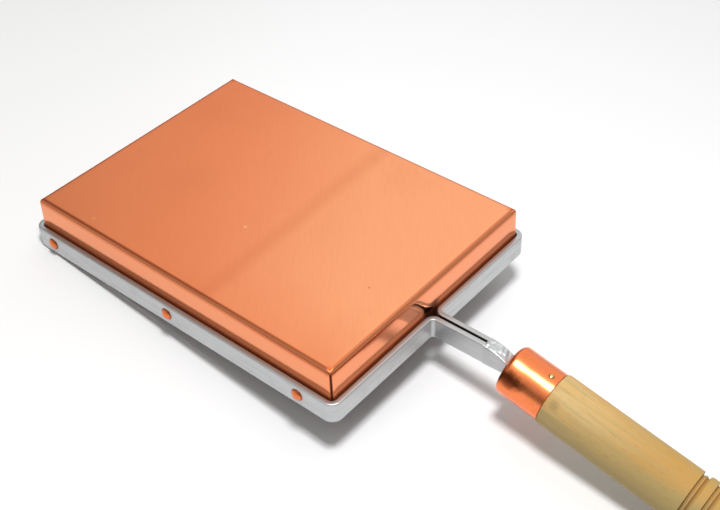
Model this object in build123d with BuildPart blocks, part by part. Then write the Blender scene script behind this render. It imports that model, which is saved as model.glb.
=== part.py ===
from build123d import *
from math import asin, atan2, cos, degrees, hypot, radians, sin, sqrt, tan
import os

# A rectangular copper omelette pan with a wooden handle, lying upside down on a table.
# It rests on the far edge of its rim and on the end of its handle, so the whole pan leans
# a few degrees. All lengths are in millimetres.
# Pan coordinates: x runs from the middle of the pan towards the handle, y across the pan,
# and z from the rim up to the flat base. The row's own frame stands on the table.

# Copper body
body_length = 180.0
body_width = 130.0
body_height = 25.6
copper_sheet = 1.5
wall_slope = 1.1
base_bend_radius = 2.3
seam_lip_radius = 0.4

# Aluminium bar bent round the rim
band_height = 10.6
band_thickness = 2.7
band_gap = 0.45
band_corner_radius = 3.75
band_edge_round = 0.4
strip_bend_radius = 3.2
strip_slot = 1.0
strip_length = 26.2

# Tang welded to the two strips
neck_length = 38.2
neck_top_height = 6.9
neck_bottom_height = 0.4
tang_length = 60.0
tang_tip_width = 2.8
tang_tip_height = 2.8
tang_clearance = 0.3
bore_margin = 4.0

# Copper rivets through the band and the long sides
rivet_count = 3
rivet_end_gap = 13.3
rivet_shift = -3.3
rivet_height = 5.6
rivet_shank_radius = 1.7
rivet_hole_clearance = 0.1
rivet_head_radius = 3.0
rivet_head_height = 1.5
rivet_tail_radius = 2.6
rivet_tail_height = 0.9

# Ferrule and handle, measured along the handle's axis from the front of the ferrule
handle_drop = 11.9
ferrule_axis_height = 2.9
ferrule_length = 21.5
ferrule_radius = 11.4
ferrule_sheet = 0.8
ferrule_front_round = 2.4
ferrule_clearance = 0.1
grip_radius = 11.9
grip_edge_round = 0.9
grip_length = 65.0
groove_width = 3.0
groove_depth = 1.6
groove_bead_width = 1.0
groove_bead_height = 0.7
ring_width = 3.9
ring_round = 1.1
ring_count = 2
butt_radius = 12.5
butt_length = 62.0
butt_round = 5.5

# Brass pin that holds the ferrule on the wood
pin_place = 17.7
pin_head_radius = 1.3
pin_head_height = 0.5
pin_shank_radius = 0.65
pin_depth = 5.0
pin_hole_clearance = 0.1

# How far a cutting shape runs past what it cuts
overrun = 2.0

# Sizes worked out from the ones above
half_length = body_length / 2
half_width = body_width / 2
rivet_spacing = (body_length - 2 * rivet_end_gap) / (rivet_count - 1)
slope_run = tan(radians(wall_slope))
inner_bend_radius = max(base_bend_radius - copper_sheet, base_bend_radius / 4)
band_inner_x = half_length + band_gap
band_inner_y = half_width + band_gap
band_outer_x = band_inner_x + band_thickness
band_outer_y = band_inner_y + band_thickness
strip_end = band_outer_x + strip_length
strip_middle = (strip_slot + band_thickness) / 2
tang_width = strip_slot + 2 * band_thickness
ferrule_front = band_outer_x + neck_length
groove_start = ferrule_length + grip_length
ring_pitch = groove_width + ring_width
rings_end = groove_start + ring_count * ring_pitch + groove_width
handle_length = rings_end + butt_length
groove_radius = grip_radius - groove_depth

# The table touches the round edge of the band's far side and the round edge of the handle's
# end. The lean is the angle of the line that touches both circles from below.
far_edge = Vector(band_edge_round - band_outer_x, band_edge_round)
drop = radians(handle_drop)
along_handle = Vector(cos(drop), -sin(drop))
under_handle = Vector(-sin(drop), -cos(drop))
end_edge = (
    Vector(ferrule_front, ferrule_axis_height)
    + along_handle * (handle_length - butt_round)
    + under_handle * (butt_radius - butt_round)
)
reach = end_edge - far_edge
lean = asin((butt_round - band_edge_round) / hypot(reach.X, reach.Y)) - atan2(reach.Y, reach.X)
handle_slope = drop - lean

# The row's origin is on the table, under the middle of the whole length
leftmost = (
    (band_edge_round - band_outer_x) * cos(lean)
    - (band_height - band_edge_round) * sin(lean)
    - band_edge_round
)
rightmost = (
    ferrule_front * cos(lean)
    - ferrule_axis_height * sin(lean)
    + (handle_length - butt_round) * cos(handle_slope)
    + (butt_radius - butt_round) * sin(handle_slope)
    + butt_round
)
pan_x = -(leftmost + rightmost) / 2
pan_z = band_edge_round * (1 - cos(lean)) + (band_outer_x - band_edge_round) * sin(lean)

# Planes of the leaning pan: its rim, and the upright plane through the handle
rim = Plane(
    origin=(pan_x, 0, pan_z),
    x_dir=(cos(lean), 0, sin(lean)),
    z_dir=(-sin(lean), 0, cos(lean)),
)
side = Plane(origin=rim.origin, x_dir=rim.x_dir, z_dir=(0, -1, 0))
pan_up = Axis(rim.origin, rim.z_dir)
pan_forward = Axis(rim.origin, rim.x_dir)

# Upright plane whose x runs along the handle from the front of the ferrule, and whose y
# points to the side of the handle that faces up on the table
handle_side = Plane(
    origin=side.from_local_coords(Vector(ferrule_front, ferrule_axis_height, 0)),
    x_dir=(cos(handle_slope), 0, -sin(handle_slope)),
    z_dir=(0, -1, 0),
)
handle_axis = Axis(handle_side.origin, handle_side.x_dir)

# Plane on the handle's axis where the ferrule's pin goes in
pin_hole = Plane(
    origin=handle_side.from_local_coords(Vector(pin_place, 0, 0)),
    x_dir=handle_side.x_dir,
    z_dir=handle_side.y_dir,
)


def rivet_places():
    """Places of the rivets along one long side of the pan."""
    first = rivet_shift - rivet_spacing * (rivet_count - 1) / 2
    return [first + rivet_spacing * number for number in range(rivet_count)]


def rivet_plane(place, side_sign):
    """Plane on the pan's middle line at a rivet, facing out through the named long side."""
    return Plane(
        origin=rim.from_local_coords(Vector(place, 0, rivet_height)),
        x_dir=rim.x_dir,
        z_dir=(0, side_sign, 0),
    )


def bent_block(length, width, height, bend):
    """Block on the rim's plane, with sloping walls and the edges of its top bent round."""
    with BuildPart() as block:
        with BuildSketch():
            Rectangle(length, width)
        extrude(amount=height, taper=wall_slope)
        fillet(block.faces().sort_by(Axis.Z)[-1].edges(), bend)
    return rim.location * block.part


# Copper body: one sheet, walls folded from the base, corners closed by an open-lipped seam
outside = bent_block(body_length, body_width, body_height, base_bend_radius)
hollow = bent_block(
    body_length - 2 * copper_sheet,
    body_width - 2 * copper_sheet,
    body_height - copper_sheet,
    inner_bend_radius,
)
with BuildPart() as pan_body:
    add(outside)
    add(hollow, mode=Mode.SUBTRACT)
    # Each wall's edge is rounded at the corner, and the two round lips meet on the diagonal
    lip_start = seam_lip_radius * (1 + sqrt(2))
    lip_meet = seam_lip_radius * (1 + sqrt(2) / 2)
    for end_x in (-1, 1):
        for end_y in (-1, 1):
            corner = rim.from_local_coords(Vector(end_x * half_length, end_y * half_width, 0))
            corner_plane = Plane(
                origin=corner, x_dir=rim.x_dir * end_x, z_dir=rim.z_dir * (end_x * end_y)
            )
            fold_line = (
                rim.z_dir
                - rim.x_dir * (end_x * slope_run)
                - rim.y_dir * (end_y * slope_run)
            )
            with BuildSketch(corner_plane) as seam:
                with BuildLine():
                    TangentArc((0, -lip_start), (-lip_meet, -lip_meet), tangent=(0, 1))
                    TangentArc((-lip_start, 0), (-lip_meet, -lip_meet), tangent=(1, 0))
                    Polyline(
                        (-lip_start, 0),
                        (-lip_start, lip_start),
                        (lip_start, lip_start),
                        (lip_start, -lip_start),
                        (0, -lip_start),
                    )
                make_face()
            extrude(seam.sketch, amount=body_height, dir=fold_line, mode=Mode.SUBTRACT)
    for place in rivet_places():
        with BuildSketch(rivet_plane(place, 1)):
            Circle(rivet_shank_radius + rivet_hole_clearance)
        extrude(amount=half_width + overrun, both=True, mode=Mode.SUBTRACT)
pan_body.part.label = "pan_body"

# Band: one flat bar bent round the rim, its two ends turned out side by side as the neck
band_line_x = band_inner_x + band_thickness / 2
band_line_y = band_inner_y + band_thickness / 2
with BuildPart() as band_frame:
    with BuildSketch(rim):
        with BuildLine():
            FilletPolyline(
                (strip_end, -strip_middle),
                (band_line_x, -strip_middle),
                (band_line_x, -band_line_y),
                (-band_line_x, -band_line_y),
                (-band_line_x, band_line_y),
                (band_line_x, band_line_y),
                (band_line_x, strip_middle),
                (strip_end, strip_middle),
                radius=[
                    strip_bend_radius,
                    band_corner_radius,
                    band_corner_radius,
                    band_corner_radius,
                    band_corner_radius,
                    strip_bend_radius,
                ],
            )
        trace(line_width=band_thickness)
    extrude(amount=band_height)
    strip_ends = band_frame.faces().filter_by(pan_forward).sort_by(pan_forward)[-2:]
    levels = band_frame.edges().group_by(pan_up)
    long_edges = [edge for edge in levels[0] + levels[-1] if edge not in strip_ends.edges()]
    fillet(long_edges, band_edge_round)
    for place in rivet_places():
        with BuildSketch(rivet_plane(place, 1)):
            Circle(rivet_shank_radius + rivet_hole_clearance)
        extrude(amount=band_outer_y + overrun, both=True, mode=Mode.SUBTRACT)
band_frame.part.label = "band_frame"

# Tang: welded across the strips' ends, ground down to the ferrule, then a spike in the wood
tip = handle_side.from_local_coords(Vector(tang_length, 0, 0))
tip_place = side.to_local_coords(tip)
tip_up = Vector(sin(drop), cos(drop)) * (tang_tip_height / 2)
with BuildPart() as tang:
    with BuildSketch(side) as tang_outline:
        with BuildLine():
            TangentArc(
                (strip_end, band_height), (ferrule_front, neck_top_height), tangent=(1, 0)
            )
            Polyline(
                (ferrule_front, neck_top_height),
                (tip_place.X + tip_up.X, tip_place.Y + tip_up.Y),
                (tip_place.X - tip_up.X, tip_place.Y - tip_up.Y),
                (ferrule_front, neck_bottom_height),
                (strip_end, 0),
                (strip_end, band_height),
            )
        make_face()
    extrude(amount=tang_width / 2, both=True)
    fillet(tang.edges().filter_by(GeomType.CIRCLE), band_edge_round)
    with BuildSketch(rim):
        with BuildLine():
            Polyline(
                (strip_end, -tang_width / 2),
                (ferrule_front, -tang_width / 2),
                (tip_place.X + tip_up.X, -tang_tip_width / 2),
                (tip_place.X + tip_up.X, tang_tip_width / 2),
                (ferrule_front, tang_width / 2),
                (strip_end, tang_width / 2),
                close=True,
            )
        make_face()
    extrude(amount=tang_length + overrun, both=True, mode=Mode.INTERSECT)
tang.part.label = "tang"

# Ferrule: a drawn copper cup with a slot in its front for the tang
with BuildPart() as ferrule:
    with BuildSketch(handle_side):
        with BuildLine():
            Polyline(
                (ferrule_front_round, ferrule_radius),
                (ferrule_length, ferrule_radius),
                (ferrule_length, 0),
                (0, 0),
                (0, ferrule_radius - ferrule_front_round),
            )
            TangentArc(
                (0, ferrule_radius - ferrule_front_round),
                (ferrule_front_round, ferrule_radius),
                tangent=(0, 1),
            )
        make_face()
    revolve(axis=handle_axis)
    offset(amount=-ferrule_sheet, openings=ferrule.faces().sort_by(handle_axis)[-1])
    with BuildSketch(side):
        add(tang_outline.sketch_local)
        offset(amount=tang_clearance)
    extrude(amount=tang_width / 2 + tang_clearance, both=True, mode=Mode.SUBTRACT)
    with BuildSketch(pin_hole):
        Circle(pin_shank_radius + pin_hole_clearance)
    extrude(amount=ferrule_radius + overrun, mode=Mode.SUBTRACT)
ferrule.part.label = "ferrule"

# Handle: turned wood, its front reduced to enter the ferrule, with rings turned near its rear
spigot_front = ferrule_sheet + tang_clearance
spigot_radius = ferrule_radius - ferrule_sheet - ferrule_clearance
grip_front = ferrule_length + ferrule_clearance
tang_off_axis = abs((neck_top_height + neck_bottom_height) / 2 - ferrule_axis_height)
tang_mouth_radius = hypot(tang_width, neck_top_height - neck_bottom_height) / 2
bore_mouth_radius = tang_mouth_radius + tang_off_axis + tang_clearance
bore_end = tang_length + bore_margin
bore_end_radius = hypot(tang_tip_width, tang_tip_height) / 2 + tang_clearance
with BuildPart() as handle:
    with BuildSketch(handle_side):
        with BuildLine():
            Polyline(
                (bore_end, 0),
                (bore_end, bore_end_radius),
                (spigot_front, bore_mouth_radius),
                (spigot_front, spigot_radius - ferrule_front_round),
                (spigot_front + ferrule_front_round, spigot_radius),
                (grip_front, spigot_radius),
                (grip_front, grip_radius - grip_edge_round),
            )
            TangentArc(
                (grip_front, grip_radius - grip_edge_round),
                (grip_front + grip_edge_round, grip_radius),
                tangent=(0, 1),
            )
            Line((grip_front + grip_edge_round, grip_radius), (groove_start, grip_radius))
            # Each groove is cut square, with a fine bead left standing along its middle
            for number in range(ring_count + 1):
                start = groove_start + number * ring_pitch
                middle = start + groove_width / 2
                rear = start + groove_width
                Polyline(
                    (start, grip_radius),
                    (start, groove_radius),
                    (middle - groove_bead_width / 2, groove_radius),
                    (middle - groove_bead_width / 4, groove_radius + groove_bead_height),
                    (middle + groove_bead_width / 4, groove_radius + groove_bead_height),
                    (middle + groove_bead_width / 2, groove_radius),
                    (rear, groove_radius),
                    (rear, grip_radius - ring_round),
                )
                TangentArc(
                    (rear, grip_radius - ring_round),
                    (rear + ring_round, grip_radius),
                    tangent=(0, 1),
                )
                if number < ring_count:
                    Line((rear + ring_round, grip_radius), (rear + ring_width, grip_radius))
            Spline(
                (rings_end + ring_round, grip_radius),
                (handle_length - butt_round, butt_radius),
                tangents=[(1, 0), (1, 0)],
            )
            TangentArc(
                (handle_length - butt_round, butt_radius),
                (handle_length, butt_radius - butt_round),
                tangent=(1, 0),
            )
            Polyline(
                (handle_length, butt_radius - butt_round),
                (handle_length, 0),
                (bore_end, 0),
            )
        make_face()
    revolve(axis=handle_axis)
    with BuildSketch(pin_hole):
        Circle(pin_shank_radius + pin_hole_clearance)
    extrude(amount=ferrule_radius + overrun, mode=Mode.SUBTRACT)
handle.part.label = "handle"

# Brass pin: a small round-headed nail driven through the ferrule into the wood
pin_line = Plane(
    origin=handle_side.from_local_coords(Vector(pin_place, ferrule_radius, 0)),
    x_dir=handle_side.x_dir,
    z_dir=(0, -1, 0),
)
with BuildPart() as ferrule_pin:
    with BuildSketch(pin_line):
        with BuildLine():
            TangentArc((0, pin_head_height), (pin_head_radius, 0), tangent=(1, 0))
            Polyline(
                (0, pin_head_height),
                (0, -pin_depth),
                (pin_shank_radius, pin_shank_radius * 2 - pin_depth),
                (pin_shank_radius, 0),
                (pin_head_radius, 0),
            )
        make_face()
    revolve(axis=Axis(pin_line.origin, pin_line.y_dir))
ferrule_pin.part.label = "ferrule_pin"

# Rivets: a domed head on the band, a shank through both walls and a flatter tail inside
wall_inside = half_width - copper_sheet - slope_run * (rivet_height + rivet_tail_radius)
rivets = {}
for side_name, side_sign in (("left", -1), ("right", 1)):
    for number, place in enumerate(rivet_places(), start=1):
        along = rivet_plane(place, side_sign)
        profile = Plane(origin=along.origin, x_dir=along.z_dir, z_dir=along.y_dir)
        with BuildPart() as rivet:
            with BuildSketch(profile):
                with BuildLine():
                    TangentArc(
                        (band_outer_y + rivet_head_height, 0),
                        (band_outer_y, rivet_head_radius),
                        tangent=(0, 1),
                    )
                    Polyline(
                        (band_outer_y + rivet_head_height, 0),
                        (wall_inside - rivet_tail_height, 0),
                    )
                    TangentArc(
                        (wall_inside - rivet_tail_height, 0),
                        (wall_inside, rivet_tail_radius),
                        tangent=(0, 1),
                    )
                    Polyline(
                        (wall_inside, rivet_tail_radius),
                        (wall_inside, rivet_shank_radius),
                        (band_outer_y, rivet_shank_radius),
                        (band_outer_y, rivet_head_radius),
                    )
                make_face()
            revolve(axis=Axis(profile.origin, profile.x_dir))
        rivet.part.label = f"rivet_{side_name}_{number}"
        rivets[rivet.part.label] = rivet.part

os.makedirs("parts", exist_ok=True)
export_step(pan_body.part, "parts/pan_body.step")
export_step(band_frame.part, "parts/band_frame.step")
export_step(tang.part, "parts/tang.step")
export_step(ferrule.part, "parts/ferrule.step")
export_step(handle.part, "parts/handle.step")
export_step(ferrule_pin.part, "parts/ferrule_pin.step")
for name, solid in rivets.items():
    export_step(solid, f"parts/{name}.step")

print("lean", round(degrees(lean), 3), "handle slope", round(degrees(handle_slope), 3))
print("pan origin", round(pan_x, 3), round(pan_z, 3), "handle length", handle_length)
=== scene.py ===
"""Looks of a rectangular copper omelette pan that lies upside down on a white table.

The pan leans: it rests on the far edge of its rim band and on the end of its handle. Each
piece is a surface worked out with numpy in its own tilted frame, in metres, and put into the
row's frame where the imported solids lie. Lengths in the classes are metres, angles degrees.
"""

import logging
from dataclasses import dataclass
from enum import Enum
from typing import Any, Callable, Sequence

import bmesh
import bpy
import numpy as np
from mathutils import Matrix, Vector

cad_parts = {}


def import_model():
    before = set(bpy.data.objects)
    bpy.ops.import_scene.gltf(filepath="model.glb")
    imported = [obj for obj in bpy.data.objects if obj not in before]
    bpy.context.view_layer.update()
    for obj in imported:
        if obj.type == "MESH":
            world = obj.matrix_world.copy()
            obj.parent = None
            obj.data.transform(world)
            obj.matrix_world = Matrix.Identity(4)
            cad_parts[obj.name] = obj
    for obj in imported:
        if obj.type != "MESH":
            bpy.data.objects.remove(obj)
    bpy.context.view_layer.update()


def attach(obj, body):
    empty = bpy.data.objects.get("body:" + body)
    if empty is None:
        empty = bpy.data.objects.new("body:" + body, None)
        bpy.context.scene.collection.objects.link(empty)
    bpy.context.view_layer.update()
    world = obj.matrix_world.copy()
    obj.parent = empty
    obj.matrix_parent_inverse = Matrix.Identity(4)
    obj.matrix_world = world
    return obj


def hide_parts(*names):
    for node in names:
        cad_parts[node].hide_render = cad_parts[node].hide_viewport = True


LOG = logging.getLogger("pan")
BODY = "root"
UV_NAME = "UVMap"
TINY = 1e-9
Pair = tuple[float, float]
Triple = tuple[float, float, float]
Colour = tuple[float, float, float]
ORIGIN: Triple = (0.0, 0.0, 0.0)
BLACK: Colour = (0.0, 0.0, 0.0)
UNIT: Triple = (1.0, 1.0, 1.0)


class Slot(Enum):
    """The record's material slots."""

    COPPER = "copper"
    ALUMINIUM = "aluminium"
    FERRULE = "ferrule_copper"
    WOOD = "wood"
    BRASS = "brass"


class Side(Enum):
    """The pan's long sides, by the sign of Y."""

    LEFT = -1
    RIGHT = 1


class Axis(Enum):
    """The directions in which a domed head can stand, by their place in a vector."""

    ACROSS = 1
    UP = 2


@dataclass(frozen=True)
class Tilt:
    """A frame turned about the row's Y axis, nose up by an angle, at a place in the row."""

    origin: Triple
    nose_up: float

    def place(self, local: np.ndarray) -> np.ndarray:
        """Take points of this frame into the row's frame.

        The turned point is origin + x * nose + y * side + z * up, with the nose in X and Z.

        Args:
            local: Points, with X, Y and Z along the last axis.

        Returns:
            The same points in the row's frame, in the same shape.
        """
        turn = np.radians(self.nose_up)
        nose = np.array([np.cos(turn), 0.0, np.sin(turn)])
        above = np.array([-np.sin(turn), 0.0, np.cos(turn)])
        side = np.array([0.0, 1.0, 0.0])
        return np.asarray(self.origin) + local @ np.stack([nose, side, above])

    @property
    def turn(self) -> Triple:
        """The frame's turn as Blender's three angles, in radians."""
        return (0.0, float(-np.radians(self.nose_up)), 0.0)


@dataclass(frozen=True)
class Sheet:
    """Sizes of the folded copper body, measured from the rim's plane."""

    length: float = 0.180
    width: float = 0.130
    height: float = 0.0256
    thickness: float = 0.0015
    wall_slope: float = 1.1
    bend_radius: float = 0.0023
    inner_bend_radius: float = 0.0008
    seam_lip: float = 0.0004
    rim_round: float = 0.0002

    @property
    def lean_in(self) -> float:
        """How far a wall leans in for each length that it rises."""
        return float(np.tan(np.radians(self.wall_slope)))


@dataclass(frozen=True)
class Bar:
    """Sizes of the aluminium bar that is bent round the rim and out into the neck."""

    height: float = 0.0106
    thickness: float = 0.0027
    gap: float = 0.00045
    corner_radius: float = 0.00375
    strip_bend_radius: float = 0.0032
    edge_round: float = 0.0004
    slot: float = 0.0010
    strip_length: float = 0.0262


@dataclass(frozen=True)
class Grip:
    """Sizes of the turned handle, measured along its axis from the ferrule's front."""

    drop: float = 11.9
    axis_height: float = 0.0029
    neck_length: float = 0.0382
    radius: float = 0.0119
    edge_round: float = 0.0009
    length: float = 0.065
    groove_width: float = 0.0030
    groove_depth: float = 0.0016
    bead_width: float = 0.0010
    bead_height: float = 0.0007
    ring_width: float = 0.0039
    ring_round: float = 0.0011
    ring_count: int = 2
    butt_radius: float = 0.0125
    butt_length: float = 0.062
    butt_round: float = 0.0055

    @property
    def ring_pitch(self) -> float:
        """Distance from one groove to the next."""
        return self.groove_width + self.ring_width

    @property
    def rings_length(self) -> float:
        """Length of all rings and grooves together."""
        return self.ring_count * self.ring_pitch + self.groove_width


@dataclass(frozen=True)
class Cup:
    """Sizes of the drawn copper ferrule and of the pin that holds it."""

    length: float = 0.0215
    radius: float = 0.0114
    sheet: float = 0.0008
    front_round: float = 0.0024
    tang_clearance: float = 0.0003
    pin_place: float = 0.0177
    pin_head_radius: float = 0.0013
    pin_head_height: float = 0.0005
    pin_shank_radius: float = 0.00065
    pin_depth: float = 0.0050


@dataclass(frozen=True)
class RivetSizes:
    """Sizes and places of the copper rivets through the band and the long sides."""

    count: int = 3
    end_gap: float = 0.0133
    shift: float = -0.0033
    height: float = 0.0056
    shank_radius: float = 0.0017
    head_radius: float = 0.0030
    head_height: float = 0.0015
    tail_radius: float = 0.0026
    tail_height: float = 0.0009


@dataclass(frozen=True)
class Layout:
    """How the pieces lie: every place is worked out from the pieces' own sizes."""

    sheet: Sheet = Sheet()
    bar: Bar = Bar()
    grip: Grip = Grip()
    cup: Cup = Cup()
    rivets: RivetSizes = RivetSizes()
    tang_length: float = 0.060
    tang_tip: float = 0.0028
    neck_top: float = 0.0069
    neck_bottom: float = 0.0004

    @property
    def band_outer_x(self) -> float:
        """Distance from the pan's middle to the band's outer face, along the pan."""
        return self.sheet.length / 2 + self.bar.gap + self.bar.thickness

    @property
    def band_outer_y(self) -> float:
        """Distance from the pan's middle to the band's outer face, across the pan."""
        return self.sheet.width / 2 + self.bar.gap + self.bar.thickness

    @property
    def strip_end(self) -> float:
        """Where the two strips of the neck end."""
        return self.band_outer_x + self.bar.strip_length

    @property
    def ferrule_front(self) -> float:
        """Where the ferrule begins."""
        return self.band_outer_x + self.grip.neck_length

    @property
    def tang_width(self) -> float:
        """Width of the neck over both strips."""
        return self.bar.slot + 2 * self.bar.thickness

    @property
    def rings_start(self) -> float:
        """Front end of the first groove, along the handle."""
        return self.cup.length + self.grip.length

    @property
    def handle_length(self) -> float:
        """Distance from the ferrule's front to the handle's end."""
        return self.rings_start + self.grip.rings_length + self.grip.butt_length

    def rivet_places(self) -> np.ndarray:
        """Places of the rivets along one long side: evenly spaced, moved by the shift."""
        reach = self.sheet.length / 2 - self.rivets.end_gap
        return self.rivets.shift + np.linspace(-reach, reach, self.rivets.count)

    def lean(self) -> float:
        """Angle by which the pan leans on the table.

        The table touches two circles: the round edge of the band's far side and the round
        end of the handle. The lean is the angle of the line that touches both from below.

        Returns:
            The angle in degrees, nose up.
        """
        drop = np.radians(self.grip.drop)
        edge = self.bar.edge_round
        far = np.array([edge - self.band_outer_x, edge])
        along = np.array([np.cos(drop), -np.sin(drop)])
        under = np.array([-np.sin(drop), -np.cos(drop)])
        end = (
            np.array([self.ferrule_front, self.grip.axis_height])
            + along * (self.handle_length - self.grip.butt_round)
            + under * (self.grip.butt_radius - self.grip.butt_round)
        )
        reach = end - far
        between = np.arcsin((self.grip.butt_round - edge) / np.hypot(*reach))
        return float(np.degrees(between - np.arctan2(reach[1], reach[0])))

    def pan_tilt(self) -> Tilt:
        """Give the leaning frame of the pan, on the plane of its rim.

        Its place puts the two ends equally far from the row's origin and the lowest edge on
        the table.
        """
        lean = np.radians(self.lean())
        slope = np.radians(self.grip.drop) - lean
        edge = self.bar.edge_round
        round_end = self.grip.butt_round
        leftmost = (
            (edge - self.band_outer_x) * np.cos(lean)
            - (self.bar.height - edge) * np.sin(lean)
            - edge
        )
        rightmost = (
            self.ferrule_front * np.cos(lean)
            - self.grip.axis_height * np.sin(lean)
            + (self.handle_length - round_end) * np.cos(slope)
            + (self.grip.butt_radius - round_end) * np.sin(slope)
            + round_end
        )
        height = edge * (1 - np.cos(lean)) + (self.band_outer_x - edge) * np.sin(lean)
        origin = (float(-(leftmost + rightmost) / 2), 0.0, float(height))
        return Tilt(origin, float(np.degrees(lean)))

    def handle_tilt(self) -> Tilt:
        """Give the frame whose X runs along the handle from the ferrule's front."""
        pan = self.pan_tilt()
        front = pan.place(np.array([self.ferrule_front, 0.0, self.grip.axis_height]))
        return Tilt(tuple(front.tolist()), pan.nose_up - self.grip.drop)


def arc(centre: Sequence[float], radius: float, start: float, end: float, count: int) -> np.ndarray:
    """Points of an arc: centre + radius * (cosine, sine) of evenly spaced angles.

    Args:
        centre: The circle's centre, two numbers.
        radius: The circle's radius.
        start: First angle in degrees.
        end: Last angle in degrees.
        count: How many points.

    Returns:
        An array of points, two columns.
    """
    angle = np.radians(np.linspace(start, end, count))
    return np.asarray(centre) + radius * np.stack([np.cos(angle), np.sin(angle)], axis=-1)


def stretch(start: Sequence[float], end: Sequence[float], step: float) -> np.ndarray:
    """Points of a straight run, evenly spaced and no further apart than a step.

    Args:
        start: First point.
        end: Last point.
        step: Largest distance between neighbours.

    Returns:
        An array of points, the two ends included.
    """
    first, last = np.asarray(start, float), np.asarray(end, float)
    count = max(2, int(np.ceil(np.linalg.norm(last - first) / step)) + 1)
    return first + np.linspace(0.0, 1.0, count)[:, None] * (last - first)


def travelled(points: np.ndarray) -> np.ndarray:
    """Distance along a run of points from its first: the sum of the steps so far."""
    return np.concatenate([[0.0], np.cumsum(np.linalg.norm(np.diff(points, axis=0), axis=-1))])


def lathe(profile: np.ndarray, turns: int) -> np.ndarray:
    """Turn a profile round the X axis: (s, r) goes to (s, r * cosine, r * sine).

    Args:
        profile: Points of distance along the axis and radius, two columns.
        turns: How many columns the full turn has.

    Returns:
        A grid of points whose last column repeats the first.
    """
    angle = np.linspace(0.0, 2 * np.pi, turns + 1)
    along, radius = np.repeat(profile[:, :1], turns + 1, axis=1), profile[:, 1:]
    return np.stack([along, radius * np.cos(angle), radius * np.sin(angle)], axis=-1)


@dataclass(frozen=True)
class Waves:
    """A smooth unevenness: a sum of sine waves of random direction, length and start."""

    seed: int
    length: float
    width: float
    count: int = 7
    paces: Pair = (0.6, 1.7)

    def at(self, u: np.ndarray, v: np.ndarray) -> np.ndarray:
        """Give heights from about -1 to 1: sines of u / length and v / width, each turned.

        Args:
            u: First coordinate.
            v: Second coordinate.

        Returns:
            The sum of the sines, over the root of twice their count.
        """
        draw = np.random.default_rng(self.seed)
        u, v = u / self.length, v / self.width
        total = np.zeros(np.broadcast(u, v).shape)
        for _ in range(self.count):
            turn, start = draw.uniform(0.0, 2 * np.pi, 2)
            pace = draw.uniform(*self.paces) * 2 * np.pi
            total = total + np.sin(pace * (u * np.cos(turn) + v * np.sin(turn)) + start)
        return total / np.sqrt(2 * self.count)


class Skin:
    """A mesh made of grids of points that meet edge to edge and close into one shell."""

    weld = 2e-7

    def __init__(self, name: str) -> None:
        """Start an empty skin with the name of its object."""
        self.name = name
        self.grids: list[tuple[np.ndarray, np.ndarray]] = []

    def add(self, points: np.ndarray, uv: np.ndarray | None = None) -> "Skin":
        """Add a grid of points.

        Args:
            points: Rows by columns by three.
            uv: Rows by columns by two, or nothing.

        Returns:
            This skin, so that calls can be chained.
        """
        flat = np.zeros((*points.shape[:2], 2)) if uv is None else uv
        self.grids.append((points, flat))
        return self

    def close_ends(self) -> "Skin":
        """Close both ends of the last grid: each end ring is drawn in to its middle."""
        grid, uv = self.grids[-1]
        for end in (0, -1):
            middle = np.repeat(grid[end].mean(axis=0)[None], grid.shape[1], axis=0)
            self.add(np.stack([grid[end], middle]), np.stack([uv[end], uv[end]]))
        return self

    def build(self, sharp_angle: float | None = None) -> bpy.types.Object:
        """Make the object: quads between neighbours, equal points merged, faces outward.

        Args:
            sharp_angle: Edges that turn by more degrees than this stay sharp, or none do.

        Returns:
            The finished object, linked to the scene, at the origin.
        """
        corners, faces, uvs, base = [], [], [], 0
        for points, uv in self.grids:
            rows, columns = points.shape[:2]
            index = base + np.arange(rows * columns).reshape(rows, columns)
            around = [index[:-1, :-1], index[1:, :-1], index[1:, 1:], index[:-1, 1:]]
            faces.append(np.stack(around, axis=-1).reshape(-1, 4))
            corners.append(points.reshape(-1, 3))
            uvs.append(uv.reshape(-1, 2))
            base += rows * columns
        places, quads = np.concatenate(corners), np.concatenate(faces)
        mesh = bpy.data.meshes.new(self.name)
        mesh.vertices.add(len(places))
        mesh.vertices.foreach_set("co", places.astype(np.float32).ravel())
        mesh.loops.add(quads.size)
        mesh.loops.foreach_set("vertex_index", quads.astype(np.int32).ravel())
        mesh.polygons.add(len(quads))
        mesh.polygons.foreach_set("loop_start", np.arange(0, quads.size, 4, dtype=np.int32))
        mesh.update(calc_edges=True)
        layer = mesh.uv_layers.new(name=UV_NAME)
        layer.data.foreach_set("uv", np.concatenate(uvs)[quads.ravel()].astype(np.float32).ravel())
        shell = bmesh.new()
        shell.from_mesh(mesh)
        bmesh.ops.remove_doubles(shell, verts=shell.verts, dist=self.weld)
        bmesh.ops.dissolve_degenerate(shell, edges=shell.edges, dist=self.weld)
        bmesh.ops.recalc_face_normals(shell, faces=shell.faces)
        shell.to_mesh(mesh)
        shell.free()
        mesh.polygons.foreach_set("use_smooth", np.ones(len(mesh.polygons), bool))
        if sharp_angle is not None:
            mesh.set_sharp_from_angle(angle=np.radians(sharp_angle))
        piece = bpy.data.objects.new(self.name, mesh)
        bpy.context.scene.collection.objects.link(piece)
        return piece


def maths(operation: str, turned: bool = False) -> Callable[..., "Value"]:
    """Make a method that adds one Math node on a value and others, theirs first if turned."""

    def method(self: "Value", *others: "Value | float") -> "Value":
        """Add the node and give its output."""
        parts = (*others, self) if turned else (self, *others)
        return self.paint.node("ShaderNodeMath", {"operation": operation}, dict(enumerate(parts)))

    return method


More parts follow.
